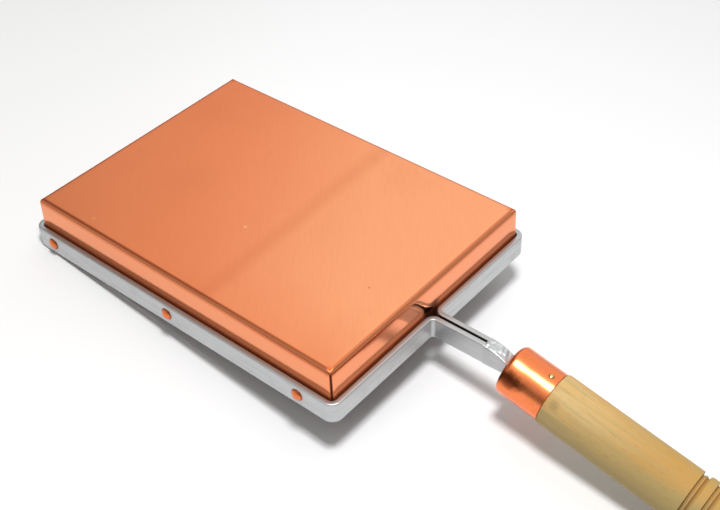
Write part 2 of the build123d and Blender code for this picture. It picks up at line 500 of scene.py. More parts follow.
class Value:
    """A shader socket with the usual signs of arithmetic, each of which adds a Math node.

    Besides the signs, root gives the square root, least and most the smaller and the larger
    of two values, and wrap what is left of the value after whole periods.
    """

    __add__ = __radd__ = maths("ADD")
    __mul__ = __rmul__ = maths("MULTIPLY")
    __sub__, __rsub__ = maths("SUBTRACT"), maths("SUBTRACT", turned=True)
    __truediv__, __rtruediv__ = maths("DIVIDE"), maths("DIVIDE", turned=True)
    __abs__, root = maths("ABSOLUTE"), maths("SQRT")
    least, most, wrap = maths("MINIMUM"), maths("MAXIMUM"), maths("FLOORED_MODULO")

    def __init__(self, paint: "Paint", socket: Any) -> None:
        """Wrap a socket of a paint's node tree."""
        self.paint = paint
        self.socket = socket

    def sway(self, width: float) -> "Value":
        """Turn a share of 0 to 1 into a swing of this width about 0."""
        return (self - 0.5) * width

    def rise(self, low: float, high: float) -> "Value":
        """Go smoothly from 0 to 1 while the value goes from low to high."""
        return self.paint.node(
            "ShaderNodeMapRange",
            {"interpolation_type": "SMOOTHSTEP", "clamp": True},
            {"Value": self, "From Min": low, "From Max": high, "To Min": 0.0, "To Max": 1.0},
        )


def distance(*parts: Value) -> Value:
    """Give how far a place is from the middle: the root of the sum of its parts' squares."""
    squares = [part * part for part in parts]
    return sum(squares[1:], squares[0]).root()


@dataclass(frozen=True)
class Mask:
    """A share that rises over one span of a value, falls over another, or does both."""

    rises: Pair | None = None
    falls: Pair | None = None
    share: float = 1.0

    def of(self, value: Value) -> Value:
        """Give share * rise * (1 - fall) for a value, without the steps that aren't set."""
        steps = [] if self.rises is None else [value.rise(*self.rises)]
        if self.falls is not None:
            steps.append(1.0 - value.rise(*self.falls))
        mask = steps[0] if len(steps) == 1 else steps[0] * steps[1]
        return mask if self.share == 1.0 else mask * self.share


@dataclass(frozen=True)
class Noise:
    """A noise from 0 to 1: scale, finer detail, the lengths it is drawn out to, and its turn."""

    scale: float
    detail: float = 3.0
    rough: float = 0.55
    size: Triple | None = None
    turn: float = 0.0


class Paint:
    """A node tree and the few ways in which its nodes are made."""

    def __init__(self, name: str, tree: Any = None) -> None:
        """Start an empty tree, of a new material unless a tree is given."""
        self.material = None
        if tree is None:
            self.material = bpy.data.materials.new(name)
            self.material.use_nodes = True
            tree = self.material.node_tree
        self.tree = tree
        self.tree.nodes.clear()

    def node(
        self, kind: str, settings: dict[str, Any], inputs: dict[Any, Any], output: Any = 0
    ) -> Value:
        """Make one node: its settings first, then the values or links of its sockets.

        Args:
            kind: Blender's name of the node.
            settings: Properties of the node.
            inputs: Socket names or numbers, with numbers, colours or values for them.
            output: Name or number of the socket to give back.

        Returns:
            The node's output.
        """
        made = self.tree.nodes.new(kind)
        for key, setting in settings.items():
            setattr(made, key, setting)
        for key, given in inputs.items():
            socket = made.inputs[key]
            if isinstance(given, Value):
                self.tree.links.new(given.socket, socket)
            else:
                socket.default_value = (*given, 1.0) if socket.type == "RGBA" else given
        return Value(self, made.outputs[output] if len(made.outputs) else None)

    def mapped(
        self, vector: Value, place: Triple = ORIGIN, turn: Triple = ORIGIN, size: Triple = UNIT
    ) -> Value:
        """Centre, turn back and shrink coordinates with one Mapping node.

        Args:
            vector: The coordinates.
            place: The new middle.
            turn: The pattern's turn, three angles in radians.
            size: What the turned coordinates are divided by.

        Returns:
            The new coordinates.
        """
        inputs = {"Vector": vector, "Location": place, "Rotation": turn, "Scale": size}
        return self.node("ShaderNodeMapping", {"vector_type": "TEXTURE"}, inputs)

    def coordinates(self, tilt: Tilt | None = None) -> Value:
        """Give Object coordinates, in a tilted frame or in the row's own."""
        place = self.node("ShaderNodeTexCoord", {}, {}, "Object")
        return place if tilt is None else self.mapped(place, tilt.origin, tilt.turn)

    def unrolled(self) -> Value:
        """Give the piece's own UV coordinates."""
        return self.node("ShaderNodeUVMap", {"uv_map": UV_NAME}, {})

    def parts(self, vector: Value) -> list[Value]:
        """Split a vector into its three values."""
        first = self.node("ShaderNodeSeparateXYZ", {}, {"Vector": vector})
        return [Value(self, output) for output in first.socket.node.outputs]

    def grain(self, noise: Noise, vector: Value) -> Value:
        """Give a noise on coordinates, drawn out and turned about Z as the noise says."""
        if noise.size is not None:
            turn = (0.0, 0.0, np.radians(noise.turn))
            vector = self.mapped(vector, turn=turn, size=noise.size)
        inputs = {"Vector": vector, "Scale": noise.scale, "Detail": noise.detail}
        inputs["Roughness"] = noise.rough
        return self.node("ShaderNodeTexNoise", {"noise_dimensions": "3D"}, inputs, "Fac")

    def blend(self, share: "Value | float", low: Any, high: Any) -> Value:
        """Mix two colours: low where the share is 0 and high where it is 1."""
        factor, first, second, mixed = 0, 6, 7, 2
        inputs = {factor: share, first: low, second: high}
        return self.node("ShaderNodeMix", {"data_type": "RGBA"}, inputs, mixed)

    def bump(self, height: Value, depth: float) -> Value:
        """Give a normal from a height from 0 to 1 and the depth of its full range."""
        return self.node("ShaderNodeBump", {}, {"Height": height, "Distance": depth}, "Normal")

    def finish(self, inputs: dict[str, Any]) -> bpy.types.Material:
        """Close the tree with a principled shader that has these sockets."""
        shader = self.node("ShaderNodeBsdfPrincipled", {}, inputs)
        self.node("ShaderNodeOutputMaterial", {}, {"Surface": shader})
        return self.material

    def metal(self, colour: Value, rough: Value, normal: Value) -> bpy.types.Material:
        """Close the tree as bare metal of a colour, roughness and normal."""
        inputs = {"Base Color": colour, "Metallic": 1.0, "Roughness": rough, "Normal": normal}
        return self.finish(inputs)


@dataclass(frozen=True)
class Speck:
    """A small round mark on the base."""

    place: Pair
    radius: float
    colour: Colour
    share: float
    core_share: float = 0.4


@dataclass(frozen=True)
class CopperSheet:
    """Copper body: polished walls, satin base and a tin-lined inside.

    Masks of the base are on distances from the pan's middle, masks of heights on distances
    from the rim's plane, and masks of seams and of the painted dark reflections along the
    bend on the UV map: the distance from the nearest corner seam, and the distance down the
    sheet from the edge of the flat base.
    """

    tilt: Tilt
    sheet: Sheet
    wall: Colour = (0.90, 0.315, 0.145)
    base: Colour = (0.90, 0.275, 0.115)
    # painted sheen: the satin base's pale haze of reflected light
    painted_sheen: Colour = (1.0, 0.405, 0.195)
    # dull colour for the base's wear, its painted dark band and its painted corner shade
    worn_and_shaded: Colour = (0.62, 0.15, 0.055)
    # painted dark reflections along the base's bend, and painted shade at the corners' tips
    fold: Colour = (0.46, 0.075, 0.018)
    # painted reflection of the band on the walls' low part
    low_wall_reflection: Colour = (0.92, 0.26, 0.09)
    # dark joint of the corner seams; also the colour of painted shade at the walls' foot and beside
    # the neck
    seam: Colour = (0.10, 0.022, 0.008)
    tin: Colour = (0.62, 0.62, 0.60)
    wall_rough: float = 0.13
    base_rough: float = 0.36
    tin_rough: float = 0.34
    dull_rough: float = 0.4
    rough_sway: float = 0.05
    fine_sway: float = 0.03
    brushing: Noise = Noise(9.0, 4.0, 0.6, (0.09, 0.004, 0.02))
    clouds: Noise = Noise(1.1, size=(0.05, 0.05, 0.02))
    scratches: Noise = Noise(2600.0, 2.0)
    strokes: Noise = Noise(1.0, 3.0, 0.6, (0.0009, 0.012, 0.02), 40.0)
    relief: float = 0.00002
    brushing_share: float = 0.4
    stroke_share: float = 0.5
    scratch_share: float = 0.25
    cloud_share: float = 0.5
    lining_depth: Mask = Mask(rises=(0.6, 0.8))
    flat_depth: Mask = Mask(falls=(0.0002, 0.0009))
    # where the painted sheen lies on the base
    sheen_along: Mask = Mask(rises=(-0.06, 0.085))
    sheen_across: Mask = Mask(rises=(-0.085, -0.02))
    sheen_lean: float = 0.5
    sheen_sway: float = 0.03
    # painted dark reflection: a band across the base
    dark_band_place: float = 0.0155
    dark_band_lean: float = 0.03
    mark: Mask = Mask(falls=(0.0, 0.0075), share=0.16)
    sheen_beyond_band: Mask = Mask(rises=(-0.002, 0.007), share=0.14)
    cloud_shade: Mask = Mask(rises=(0.45, 0.75), share=0.10)
    stroke_shade: Mask = Mask(rises=(0.40, 0.75), share=0.06)
    # painted shade on the far corner
    painted_corner_shade: Mask = Mask(rises=(0.050, 0.155), share=0.13)
    specks: tuple[Speck, ...] = (
        Speck((0.0008, -0.0200), 0.0011, (1.0, 0.56, 0.38), 0.55),
        Speck((0.0700, -0.0170), 0.0008, (0.40, 0.10, 0.04), 0.45),
        Speck((-0.0580, -0.0580), 0.0013, (1.0, 0.50, 0.28), 0.30),
    )
    seam_width: float = 0.0009
    seam_widening: float = 0.012
    seam_share: float = 0.92
    seam_edge: Mask = Mask(falls=(0.6, 1.0))
    seam_run: Mask = Mask(rises=(0.0022, 0.0032))
    # painted shade at each corner's tip, where the seam meets the bend
    tip_side: Mask = Mask(falls=(0.0005, 0.0015))
    tip_run: Mask = Mask(rises=(-0.0012, -0.0002), falls=(0.0022, 0.0032))
    tip_shade_share: float = 0.3
    tip_dull_share: float = 0.5
    # painted dark reflections along the two sides of the base's bend
    first_bend_reflection: Mask = Mask(rises=(-0.0002, 0.0007), falls=(0.0009, 0.0017), share=0.62)
    second_bend_reflection: Mask = Mask(rises=(0.0018, 0.0026), falls=(0.0029, 0.0046))
    second_reflection_share: float = 0.42
    front_bend_reflection: Mask = Mask(rises=(0.095, 0.130), share=0.20)
    # painted reflection of the band: where the walls' low part ends
    low: Mask = Mask(falls=(0.0140, 0.0158), share=0.9)
    # painted shade on the wall just over the band, in the gap
    foot: Mask = Mask(falls=(0.0108, 0.0122), share=0.38)
    foot_dull: Mask = Mask(falls=(0.0108, 0.0128))
    # painted shade in the hollow between the neck's strips and the wall
    gap_shade_side: Mask = Mask(falls=(0.0025, 0.0075), share=0.9)
    gap_shade_end: Mask = Mask(rises=(0.0, 0.001))
    gap_shade_height: Mask = Mask(falls=(0.0130, 0.0165))

    def satin(self, paint: Paint, place: Sequence[Value], cloudy: Value, strokes: Value) -> Value:
        """Colour the base: painted sheen towards the handle, a painted dark band, strokes, specks.

        How far a place lies towards the handle is x + y / 2. The painted dark band is a
        reflection lying across the base, where x - its place + y * its lean is small. y - x
        paints shade on the far corner.

        Args:
            paint: The tree.
            place: X, Y and Z in the pan's frame.
            cloudy: A broad noise.
            strokes: A noise of slanting strokes.

        Returns:
            The colour.
        """
        x, y, _ = place
        beside = x - self.dark_band_place + y * self.dark_band_lean
        # painted sheen: paler towards the handle and beyond the dark band
        near = self.sheen_along.of(x + y * self.sheen_lean + cloudy.sway(self.sheen_sway))
        near = near * self.sheen_across.of(y) + self.sheen_beyond_band.of(beside)
        colour = paint.blend(near.least(1.0), self.base, self.painted_sheen)
        # painted dark band, random cloudy and stroke tone, and painted shade on the far corner
        shade = self.mark.of(abs(beside)) + self.cloud_shade.of(cloudy)
        shade = shade + self.stroke_shade.of(strokes) + self.painted_corner_shade.of(y - x)
        colour = paint.blend(shade, colour, self.worn_and_shaded)
        for speck in self.specks:
            span = (speck.radius * speck.core_share, speck.radius)
            far = distance(x - speck.place[0], y - speck.place[1])
            colour = paint.blend(Mask(falls=span, share=speck.share).of(far), colour, speck.colour)
        return colour

    def material(self) -> bpy.types.Material:
        """Make the material.

        The depth under the skin is the least of the depths under two walls and the base. It
        is small all over the outside and a sheet's thickness or more on the lining. The seams
        are dark lines. Painted dark reflections follow the two sides of the base's bend, painted
        shade lies at the foot of the walls, beside the neck and at the corners' tips, and the
        walls' low part carries a painted reflection of the band.
        """
        paint, sheet = Paint("copper_sheet"), self.sheet
        local = paint.coordinates(self.tilt)
        x, y, z = place = paint.parts(local)
        from_seam, from_flat, _ = paint.parts(paint.unrolled())
        brushed, cloudy = paint.grain(self.brushing, local), paint.grain(self.clouds, local)
        fine, strokes = paint.grain(self.scratches, local), paint.grain(self.strokes, local)

        under_base = sheet.height - z
        under_end = sheet.length / 2 - abs(x) - z * sheet.lean_in
        under_side = sheet.width / 2 - abs(y) - z * sheet.lean_in
        depth = under_end.least(under_side).least(under_base)
        lining = self.lining_depth.of(depth / sheet.thickness)
        outside = 1.0 - lining
        flat = self.flat_depth.of(under_base)

        seam_place = from_seam / (from_flat.most(0.0) * self.seam_widening + self.seam_width)
        seam = self.seam_edge.of(seam_place) * self.seam_run.of(from_flat) * outside
        # painted shade at the corners' tips
        tip = self.tip_side.of(from_seam) * self.tip_run.of(from_flat) * outside
        # painted dark reflections along the bend, stronger towards the front corner
        second = self.front_bend_reflection.of(x - y) + self.second_reflection_share
        fold = self.first_bend_reflection.of(from_flat) + self.second_bend_reflection.of(from_flat) * second
        # painted shade in the gap at the walls' foot and in the hollow beside the neck
        gap = self.gap_shade_side.of(abs(y)) * self.gap_shade_end.of(x) * self.gap_shade_height.of(z)
        foot = self.foot.of(z).most(gap)

        colour = paint.blend(flat, self.wall, self.satin(paint, place, cloudy, strokes))
        # painted reflection of the band on the walls' low part
        colour = paint.blend(self.low.of(z) * outside, colour, self.low_wall_reflection)
        # painted shade at the walls' foot and beside the neck, in the seam's colour
        colour = paint.blend(foot * outside, colour, self.seam)
        # painted dark reflections along the bend and painted shade at the corners' tips
        colour = paint.blend((fold * outside + tip * self.tip_shade_share).least(1.0), colour, self.fold)
        colour = paint.blend(seam * self.seam_share, colour, self.seam)
        colour = paint.blend(lining, colour, self.tin)
        dull = seam + tip * self.tip_dull_share + self.foot_dull.of(z) * outside
        rough = (
            dull * self.dull_rough
            + self.wall_rough
            + flat * (brushed.sway(self.rough_sway) + (self.base_rough - self.wall_rough))
            + lining * (self.tin_rough - self.wall_rough)
            + fine.sway(self.fine_sway)
        )
        worked = brushed * self.brushing_share + strokes * self.stroke_share
        height = flat * (worked + fine * self.scratch_share) + cloudy * self.cloud_share
        return paint.metal(colour, rough, paint.bump(height, self.relief))


@dataclass(frozen=True)
class Dome:
    """Where a domed head goes from its rim to its middle, along one axis of a frame."""

    tilt: Tilt
    axis: Axis
    rim: float
    middle: float


@dataclass(frozen=True)
class Polish:
    """Plain polished copper or brass, for the ferrule, its pin and the rivets."""

    name: str
    colour: Colour
    rough: float
    dark: Colour = (0.62, 0.16, 0.06)
    # colour of the painted dark patch and of a domed head's painted rim shade
    stain: Colour = (0.20, 0.045, 0.015)
    stain_place: Triple | None = None
    stain_size: Triple = (0.0065, 0.004, 0.004)
    stain_edge: Mask = Mask(falls=(0.45, 1.25))
    stain_sway: float = 1.6
    head: Dome | None = None
    rim_shade_share: float = 0.8
    clouds: Noise = Noise(160.0)
    scratches: Noise = Noise(2400.0, 2.0)
    cloud_shade: Mask = Mask(rises=(0.52, 0.8), share=0.45)
    cloud_sway: float = 0.12
    fine_sway: float = 0.05
    scratch_share: float = 0.12
    relief: float = 0.00003

    def material(self) -> bpy.types.Material:
        """Make the material: polish with faint clouds and fine scratches.

        A dark patch, where one is placed, is an ellipsoid with a cloudy edge; on the ferrule
        it is a painted dark reflection. A domed head gets a dark rim of painted shade.
        """
        paint = Paint(self.name)
        local = paint.coordinates()
        cloudy, fine = paint.grain(self.clouds, local), paint.grain(self.scratches, local)
        colour = paint.blend(self.cloud_shade.of(cloudy), self.colour, self.dark)
        # painted dark reflection where a patch is placed
        if self.stain_place is not None:
            spot = paint.mapped(local, place=self.stain_place, size=self.stain_size)
            far = distance(*paint.parts(spot)) + cloudy.sway(self.stain_sway)
            colour = paint.blend(self.stain_edge.of(far), colour, self.stain)
        # painted shade round a domed head's rim
        if self.head is not None:
            out = abs(paint.parts(paint.coordinates(self.head.tilt))[self.head.axis.value])
            rim = Mask(falls=(self.head.rim, self.head.middle), share=self.rim_shade_share)
            colour = paint.blend(rim.of(out), colour, self.stain)
        rough = self.rough + cloudy.sway(self.cloud_sway) + fine.sway(self.fine_sway)
        return paint.metal(colour, rough, paint.bump(cloudy + fine * self.scratch_share, self.relief))


@dataclass(frozen=True)
class Aluminium:
    """Bare aluminium bar, drawn lengthwise, with light scratches; ground where it is welded."""

    name: str
    rough: float = 0.42
    ground: bool = False
    colour: Colour = (0.55, 0.56, 0.565)
    dark: Colour = (0.40, 0.405, 0.41)
    # painted shade inside the slot between the two strips
    slot: Colour = (0.05, 0.045, 0.04)
    streaks: Noise = Noise(2.0, 4.0, 0.62, (0.06, 0.0016, 1.0))
    clouds: Noise = Noise(130.0)
    scratches: Noise = Noise(2100.0, 2.0)
    lumps: Noise = Noise(650.0, 3.0, 0.6)
    streak_shade: Mask = Mask(rises=(0.42, 0.72), share=0.55)
    cloud_shade: Mask = Mask(rises=(0.5, 0.8), share=0.35)
    slot_shade_side: Mask = Mask(falls=(0.00062, 0.00085), share=0.9)
    slot_shade_start: Mask = Mask(rises=(-0.011, -0.007))
    streak_sway: float = 0.16
    cloud_sway: float = 0.10
    scratch_share: float = 0.35
    lump_share: float = 2.2
    relief: float = 0.00005

    def material(self) -> bpy.types.Material:
        """Make the material on the piece's UV map, whose first number runs along the bar.

        Streaks are a noise squeezed across the bar and drawn out along it. The faces inside
        the slot between the two strips get painted shade.
        """
        paint = Paint(self.name)
        local = paint.coordinates()
        streaks = paint.grain(self.streaks, paint.unrolled())
        cloudy, fine = paint.grain(self.clouds, local), paint.grain(self.scratches, local)
        shade = self.streak_shade.of(streaks) + self.cloud_shade.of(cloudy)
        colour = paint.blend(shade, self.colour, self.dark)
        height = streaks + fine * self.scratch_share
        if self.ground:
            height = height + paint.grain(self.lumps, local) * self.lump_share
        else:
            x, y, _ = paint.parts(local)
            # painted shade inside the slot between the strips
            slot = self.slot_shade_side.of(abs(y)) * self.slot_shade_start.of(x)
            colour = paint.blend(slot, colour, self.slot)
        rough = self.rough + streaks.sway(self.streak_sway) + cloudy.sway(self.cloud_sway)
        return paint.metal(colour, rough, paint.bump(height, self.relief))


@dataclass(frozen=True)
class Wood:
    """Pale bare wood with long fine grain, warm patches and short dark flecks."""

    layout: Layout
    pale: Colour = (0.56, 0.395, 0.175)
    warm: Colour = (0.58, 0.33, 0.11)
    # colour of the grain's dark fibres and of the painted shade underneath
    cool_grain_and_shade: Colour = (0.36, 0.27, 0.11)
    aged: Colour = (0.37, 0.262, 0.098)
    tanned: Colour = (0.44, 0.235, 0.052)
    # colour of the dark flecks and of the painted shade in the grooves
    fleck_and_groove_shade: Colour = (0.30, 0.13, 0.03)
    stain: Colour = (0.20, 0.16, 0.075)
    rough: float = 0.62
    rough_sway: float = 0.18
    gloss: float = 0.22
    clouds: Noise = Noise(1.3, size=(0.055, 0.009, 0.009))
    fibres: Noise = Noise(1.0, 5.0, 0.6, (0.035, 0.0012, 0.0012))
    pores: Noise = Noise(1.0, 2.0, 0.5, (0.0035, 0.00035, 0.00035))
    warm_patches: Mask = Mask(rises=(0.38, 0.66))
    age: Mask = Mask(rises=(0.010, 0.078), share=0.92)
    age_sway: float = 0.02
    tan: Mask = Mask(rises=(0.0070, 0.0110))
    tan_sway: float = 0.006
    fibre_shade: Mask = Mask(rises=(0.42, 0.72), share=0.65)
    # painted shade underneath the handle
    under: Mask = Mask(falls=(-0.003, 0.0145), share=0.60)
    most_cool: float = 0.9
    pore_shade: Mask = Mask(rises=(0.60, 0.74), share=0.55)
    pore_share: float = 0.5
    relief: float = 0.00006
    stain_place: Pair = (0.0256, -0.0086)
    stain_size: Pair = (0.0028, 0.0017)
    stain_edge: Mask = Mask(falls=(0.2, 1.1), share=0.42)
    stain_sway: float = 1.5
    upper: Mask = Mask(rises=(0.0, 0.001))
    # painted shade in each groove, in front of the bead and behind it
    groove_front_shade: Mask = Mask(falls=(0.0007, 0.0011), share=0.55)
    groove_back_shade: Mask = Mask(rises=(0.0016, 0.0019), falls=(0.0024, 0.0029), share=0.9)
    groove_edge: float = 0.0001

    def material(self) -> bpy.types.Material:
        """Make the material in the handle's frame, X along the grain.

        The wood is browner towards the rings and tanned on top, and painted shade makes it
        darker and more olive underneath. Two lines of painted shade in each groove repeat with
        the rings' pitch, by what is left of x after whole pitches.
        """
        paint, grip = Paint("turned_wood"), self.layout.grip
        local = paint.coordinates(self.layout.handle_tilt())
        x, y, z = paint.parts(local)
        cloudy, fibres = paint.grain(self.clouds, local), paint.grain(self.fibres, local)
        pores = paint.grain(self.pores, local)
        colour = paint.blend(self.warm_patches.of(cloudy), self.pale, self.warm)
        aged = paint.blend(self.tan.of(z + cloudy.sway(self.tan_sway)), self.aged, self.tanned)
        colour = paint.blend(self.age.of(x + cloudy.sway(self.age_sway)), colour, aged)
        # grain, and painted shade underneath
        cool_grain_and_shade = (self.fibre_shade.of(fibres) + self.under.of(z)).least(self.most_cool)
        colour = paint.blend(cool_grain_and_shade, colour, self.cool_grain_and_shade)
        colour = paint.blend(self.pore_shade.of(pores), colour, self.fleck_and_groove_shade)
        stain_x = (x - self.stain_place[0]) / self.stain_size[0]
        stain_y = (y - self.stain_place[1]) / self.stain_size[1]
        far = distance(stain_x, stain_y) + fibres.sway(self.stain_sway)
        colour = paint.blend(self.stain_edge.of(far) * self.upper.of(z), colour, self.stain)
        # painted shade in each groove, repeated with the rings' pitch
        along = x - self.layout.rings_start
        place = along.wrap(grip.ring_pitch)
        end = (grip.rings_length, grip.rings_length + self.groove_edge)
        rings = Mask(rises=(-self.groove_edge, 0.0), falls=end).of(along)
        lines = self.groove_front_shade.of(place) + self.groove_back_shade.of(place)
        colour = paint.blend(lines * rings, colour, self.fleck_and_groove_shade)
        return paint.finish(
            {
                "Base Color": colour,
                "Roughness": self.rough + fibres.sway(self.rough_sway),
                "Specular IOR Level": self.gloss,
                "Normal": paint.bump(fibres + pores * self.pore_share, self.relief),
            }
        )


def dress(piece: bpy.types.Object, material: bpy.types.Material, slot: Slot, *nodes: str) -> None:
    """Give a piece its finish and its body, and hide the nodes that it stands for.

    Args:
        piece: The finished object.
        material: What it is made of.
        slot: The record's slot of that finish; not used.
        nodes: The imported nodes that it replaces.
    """
    piece.data.materials.clear()
    piece.data.materials.append(material)
    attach(piece, BODY)
    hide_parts(*nodes)
    LOG.info("%s: %d faces", piece.name, len(piece.data.polygons))


@dataclass(frozen=True)
class PanBody:
    """The folded copper body."""

    layout: Layout
    side_step: float = 0.0025
    lip_points: int = 7
    lip_turn: float = 135.0
    bend_points: int = 9
    wall_points: int = 9
    flat_shares: tuple[float, ...] = (0.985, 0.95, 0.88, 0.78, 0.66, 0.54, 0.42, 0.30, 0.18, 0.08, 0.0)
    crown: float = 0.00022
    dent: float = 0.00006
    dents: Waves = Waves(seed=4, length=0.09, width=0.09)
    sharp_angle: float = 50.0

    @property
    def side_counts(self) -> tuple[int, int]:
        """How many steps a long side and a short side have."""
        sheet = self.layout.sheet
        long_side, short_side = np.ceil(np.array([sheet.length, sheet.width]) / self.side_step)
        return int(long_side), int(short_side)

    def outline(self, half_x: np.ndarray, half_y: np.ndarray, lip: np.ndarray) -> np.ndarray:
        """Rings round the pan: straight sides, and at each corner two round lips that meet.

        A lip is an arc of three eighths of a turn. It starts on the side, one and root two
        radii from the corner, and ends on the corner's diagonal, where the other lip ends.

        Args:
            half_x: Half of each ring's length, one number a ring.
            half_y: Half of each ring's width.
            lip: The lips' radius in each ring, 0 for a sharp corner.

        Returns:
            Rings by points by two. The last point of a ring repeats its first.
        """
        turn = np.radians(np.linspace(0.0, self.lip_turn, self.lip_points))
        first = np.stack([np.cos(turn) - 1.0, np.sin(turn) - 1.0 - np.sqrt(2.0)], axis=-1)
        corner = np.concatenate([first, first[::-1, ::-1][1:]])
        corners = []
        for sign_x, sign_y in ((1, 1), (-1, 1), (-1, -1), (1, -1)):
            turned = corner if sign_x * sign_y > 0 else corner[::-1]
            here = turned * lip[:, None, None]
            x, y = half_x[:, None] + here[..., 0], half_y[:, None] + here[..., 1]
            corners.append(np.stack([sign_x * x, sign_y * y], axis=-1))
        parts = []
        for number, place in enumerate(corners):
            following = corners[(number + 1) % len(corners)][:, :1]
            share = np.linspace(0.0, 1.0, self.side_counts[number % 2] + 1)[1:-1, None]
            parts += [place, place[:, -1:] + share * (following - place[:, -1:])]
        ring = np.concatenate(parts, axis=1)
        return np.concatenate([ring, ring[:, :1]], axis=1)

    def seam_distance(self, ring: np.ndarray) -> np.ndarray:
        """Distance along each ring from the nearest corner's seam.

        The seam's place is the middle point of the corner's two lips. The distance is the
        least difference between arc lengths, the ring's whole length taken into account.

        Args:
            ring: Rings by points by two.

        Returns:
            Rings by points.
        """
        step = np.linalg.norm(np.diff(ring, axis=1), axis=-1)
        length = np.pad(np.cumsum(step, axis=1), ((0, 0), (1, 0)))
        long_run, short_run = np.array(self.side_counts) + 2 * (self.lip_points - 1)
        starts = np.cumsum([0, long_run, short_run, long_run])
        seams = length[:, starts + self.lip_points - 1]
        gaps = np.abs(length[..., None] - seams[:, None])
        return np.minimum(gaps, length[:, -1:, None] - gaps).min(axis=-1)

    def folded(self, top: float, radius: float, inset: float) -> np.ndarray:
        """One face of the sheet: up the wall, round the bend, then in over the flat.

        The wall leans in by its slope. The bend is an arc that touches wall and flat.

        Args:
            top: Height of the flat over the rim's plane.
            radius: The bend's radius.
            inset: How far the wall's foot lies in from the rim's outline.

        Returns:
            Rows of the share of the flat's size, the inset and the height.
        """
        slope = np.radians(self.layout.sheet.wall_slope)
        middle = top - radius
        centre = inset + middle * np.tan(slope) + radius / np.cos(slope)
        turn = np.linspace(slope, np.pi / 2, self.bend_points)
        bend = np.stack([centre - radius * np.cos(turn), middle + radius * np.sin(turn)], -1)
        wall = np.linspace([inset, 0.0], bend[0], self.wall_points)
        upright = np.concatenate([wall, bend[1:]])
        flat = np.tile([centre, top], (len(self.flat_shares), 1))
        shares = np.concatenate([np.ones(len(upright)), self.flat_shares])
        return np.column_stack([shares, np.concatenate([upright, flat])])

    def profile(self) -> np.ndarray:
        """Rings from the middle of the lining, round the rim, to the middle of the base.

        Columns are the share of the flat's size, the inset from the rim's outline, the
        height over the rim's plane, the seam lips' radius, and the distance along the
        sheet's outer face from the edge of its flat, less than 0 on the flat.
        """
        sheet, small = self.layout.sheet, self.layout.sheet.rim_round
        outer = self.folded(sheet.height, sheet.bend_radius, 0.0)
        inner = self.folded(sheet.height - sheet.thickness, sheet.inner_bend_radius, sheet.thickness)
        walled = outer[:, 1] - outer[:, 2] * sheet.lean_in
        lip = np.clip(sheet.seam_lip - walled / (1 + np.sqrt(0.5)), 0.0, None)
        outer[0, 2], inner[0, 2] = small, small
        run = travelled(outer[:, 1:])
        fold = run[-1] - run - (1.0 - outer[:, 0]) * sheet.width / 2
        inside = np.column_stack([inner, np.zeros(len(inner)), np.full(len(inner), fold[0])])
        rim = np.array(
            [
                [1.0, sheet.thickness - small, 0.0, 0.0, fold[0]],
                [1.0, small, 0.0, sheet.seam_lip, fold[0]],
            ]
        )
        return np.concatenate([inside[::-1], rim, np.column_stack([outer, lip, fold])])

    def build(self) -> bpy.types.Object:
        """Make the body, its flat base a little crowned and uneven as hand work leaves it.

        The crown falls with (1 - x squared) * (1 - y squared), x and y as shares of the
        ring's half length and width.
        """
        sheet = self.layout.sheet
        share, inset, height, lip, fold = self.profile().T
        half_x, half_y = sheet.length / 2 - inset, sheet.width / 2 - inset
        ring = self.outline(half_x, half_y, lip) * share[:, None, None]
        x, y = ring[..., 0], ring[..., 1]
        flat = (1 - (x / half_x[:, None]) ** 2) * (1 - (y / half_y[:, None]) ** 2)
        flat = np.clip(flat, 0.0, 1.0) * (share[:, None] < 1.0)
        z = height[:, None] - self.crown * flat + self.dents.at(x, y) * self.dent * np.sqrt(flat)
        points = self.layout.pan_tilt().place(np.stack([x, y, z], axis=-1))
        uv = np.stack([self.seam_distance(ring), np.broadcast_to(fold[:, None], x.shape)], axis=-1)
        return Skin("pan_body_skin").add(points, uv).build(self.sharp_angle)


